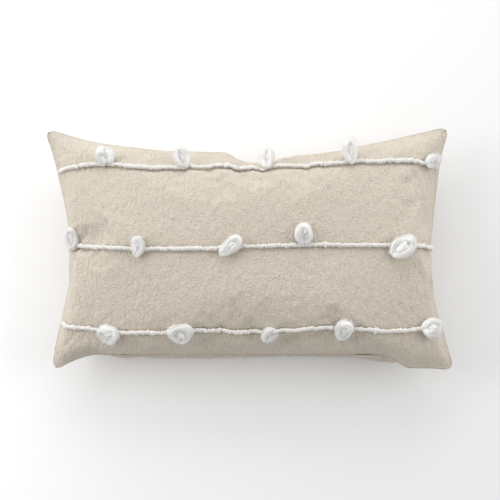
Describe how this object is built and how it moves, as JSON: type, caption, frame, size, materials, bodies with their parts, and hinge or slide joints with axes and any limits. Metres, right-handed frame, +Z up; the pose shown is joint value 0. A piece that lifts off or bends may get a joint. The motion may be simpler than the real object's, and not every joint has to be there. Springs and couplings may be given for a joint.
{
  "type": "throw pillow",
  "caption": "Rectangular stuffed lumbar pillow: woven cover with tufted cord rows, a concealed sliding zip in one long edge and a fibre-filled insert.",
  "frame": {"origin": "on the surface that the pillow lies on, under the middle of the cover", "axes": "+X along the long sides, +Y towards the upper long side (the zip is in the other, at -Y), +Z up through the tufted front"},
  "size_m": [0.496, 0.294, 0.125],
  "materials": {
    "cover_cloth": "crinkled plain weave cotton, natural",
    "cord_yarn": "bulky three-strand cotton yarn, off-white",
    "tuft_wool": "unspun wool roving, white, fluffy",
    "insert_cloth": "plain white cotton",
    "fibre": "carded polyester fibre",
    "thread": "polyester sewing thread",
    "zip_tape": "woven polyester tape",
    "zip_nylon": "nylon coil",
    "zip_metal": "satin enamel"
  },
  "bodies": {
    "pillow": {"cover_front": "cover_cloth", "cover_back": "cover_cloth", "seam_thread": "thread", "cord_upper": "cord_yarn", "cord_middle": "cord_yarn", "cord_lower": "cord_yarn", "tuft_upper_1": "tuft_wool", "tuft_upper_2": "tuft_wool", "tuft_upper_3": "tuft_wool", "tuft_upper_4": "tuft_wool", "tuft_upper_5": "tuft_wool", "tuft_middle_1": "tuft_wool", "tuft_middle_2": "tuft_wool", "tuft_middle_3": "tuft_wool", "tuft_middle_4": "tuft_wool", "tuft_middle_5": "tuft_wool", "tuft_lower_1": "tuft_wool", "tuft_lower_2": "tuft_wool", "tuft_lower_3": "tuft_wool", "tuft_lower_4": "tuft_wool", "tuft_lower_5": "tuft_wool", "insert_front": "insert_cloth", "insert_back": "insert_cloth", "insert_filling": "fibre", "zip_tape_front": "zip_tape", "zip_tape_back": "zip_tape", "zip_coil_front": "zip_nylon", "zip_coil_back": "zip_nylon", "zip_top_stops": "zip_nylon", "zip_bottom_stop": "zip_nylon", "zip_thread": "thread"},
    "slider": {"zip_slider": "zip_metal"},
    "pull": {"zip_pull": "zip_metal"}
  },
  "joints": [
    {"name": "zip_slide", "type": "slide", "parent": "pillow", "child": "slider", "axis": [-1, 0, 0], "range_m": [0, 0.289], "deforming": ["zip_coil_front", "zip_coil_back"]},
    {"name": "pull_hinge", "type": "hinge", "parent": "slider", "child": "pull", "pos_m": [0.1498, -0.1279, 0.047], "axis": [0, 0, 1], "range_deg": [0, 160]}
  ]
}
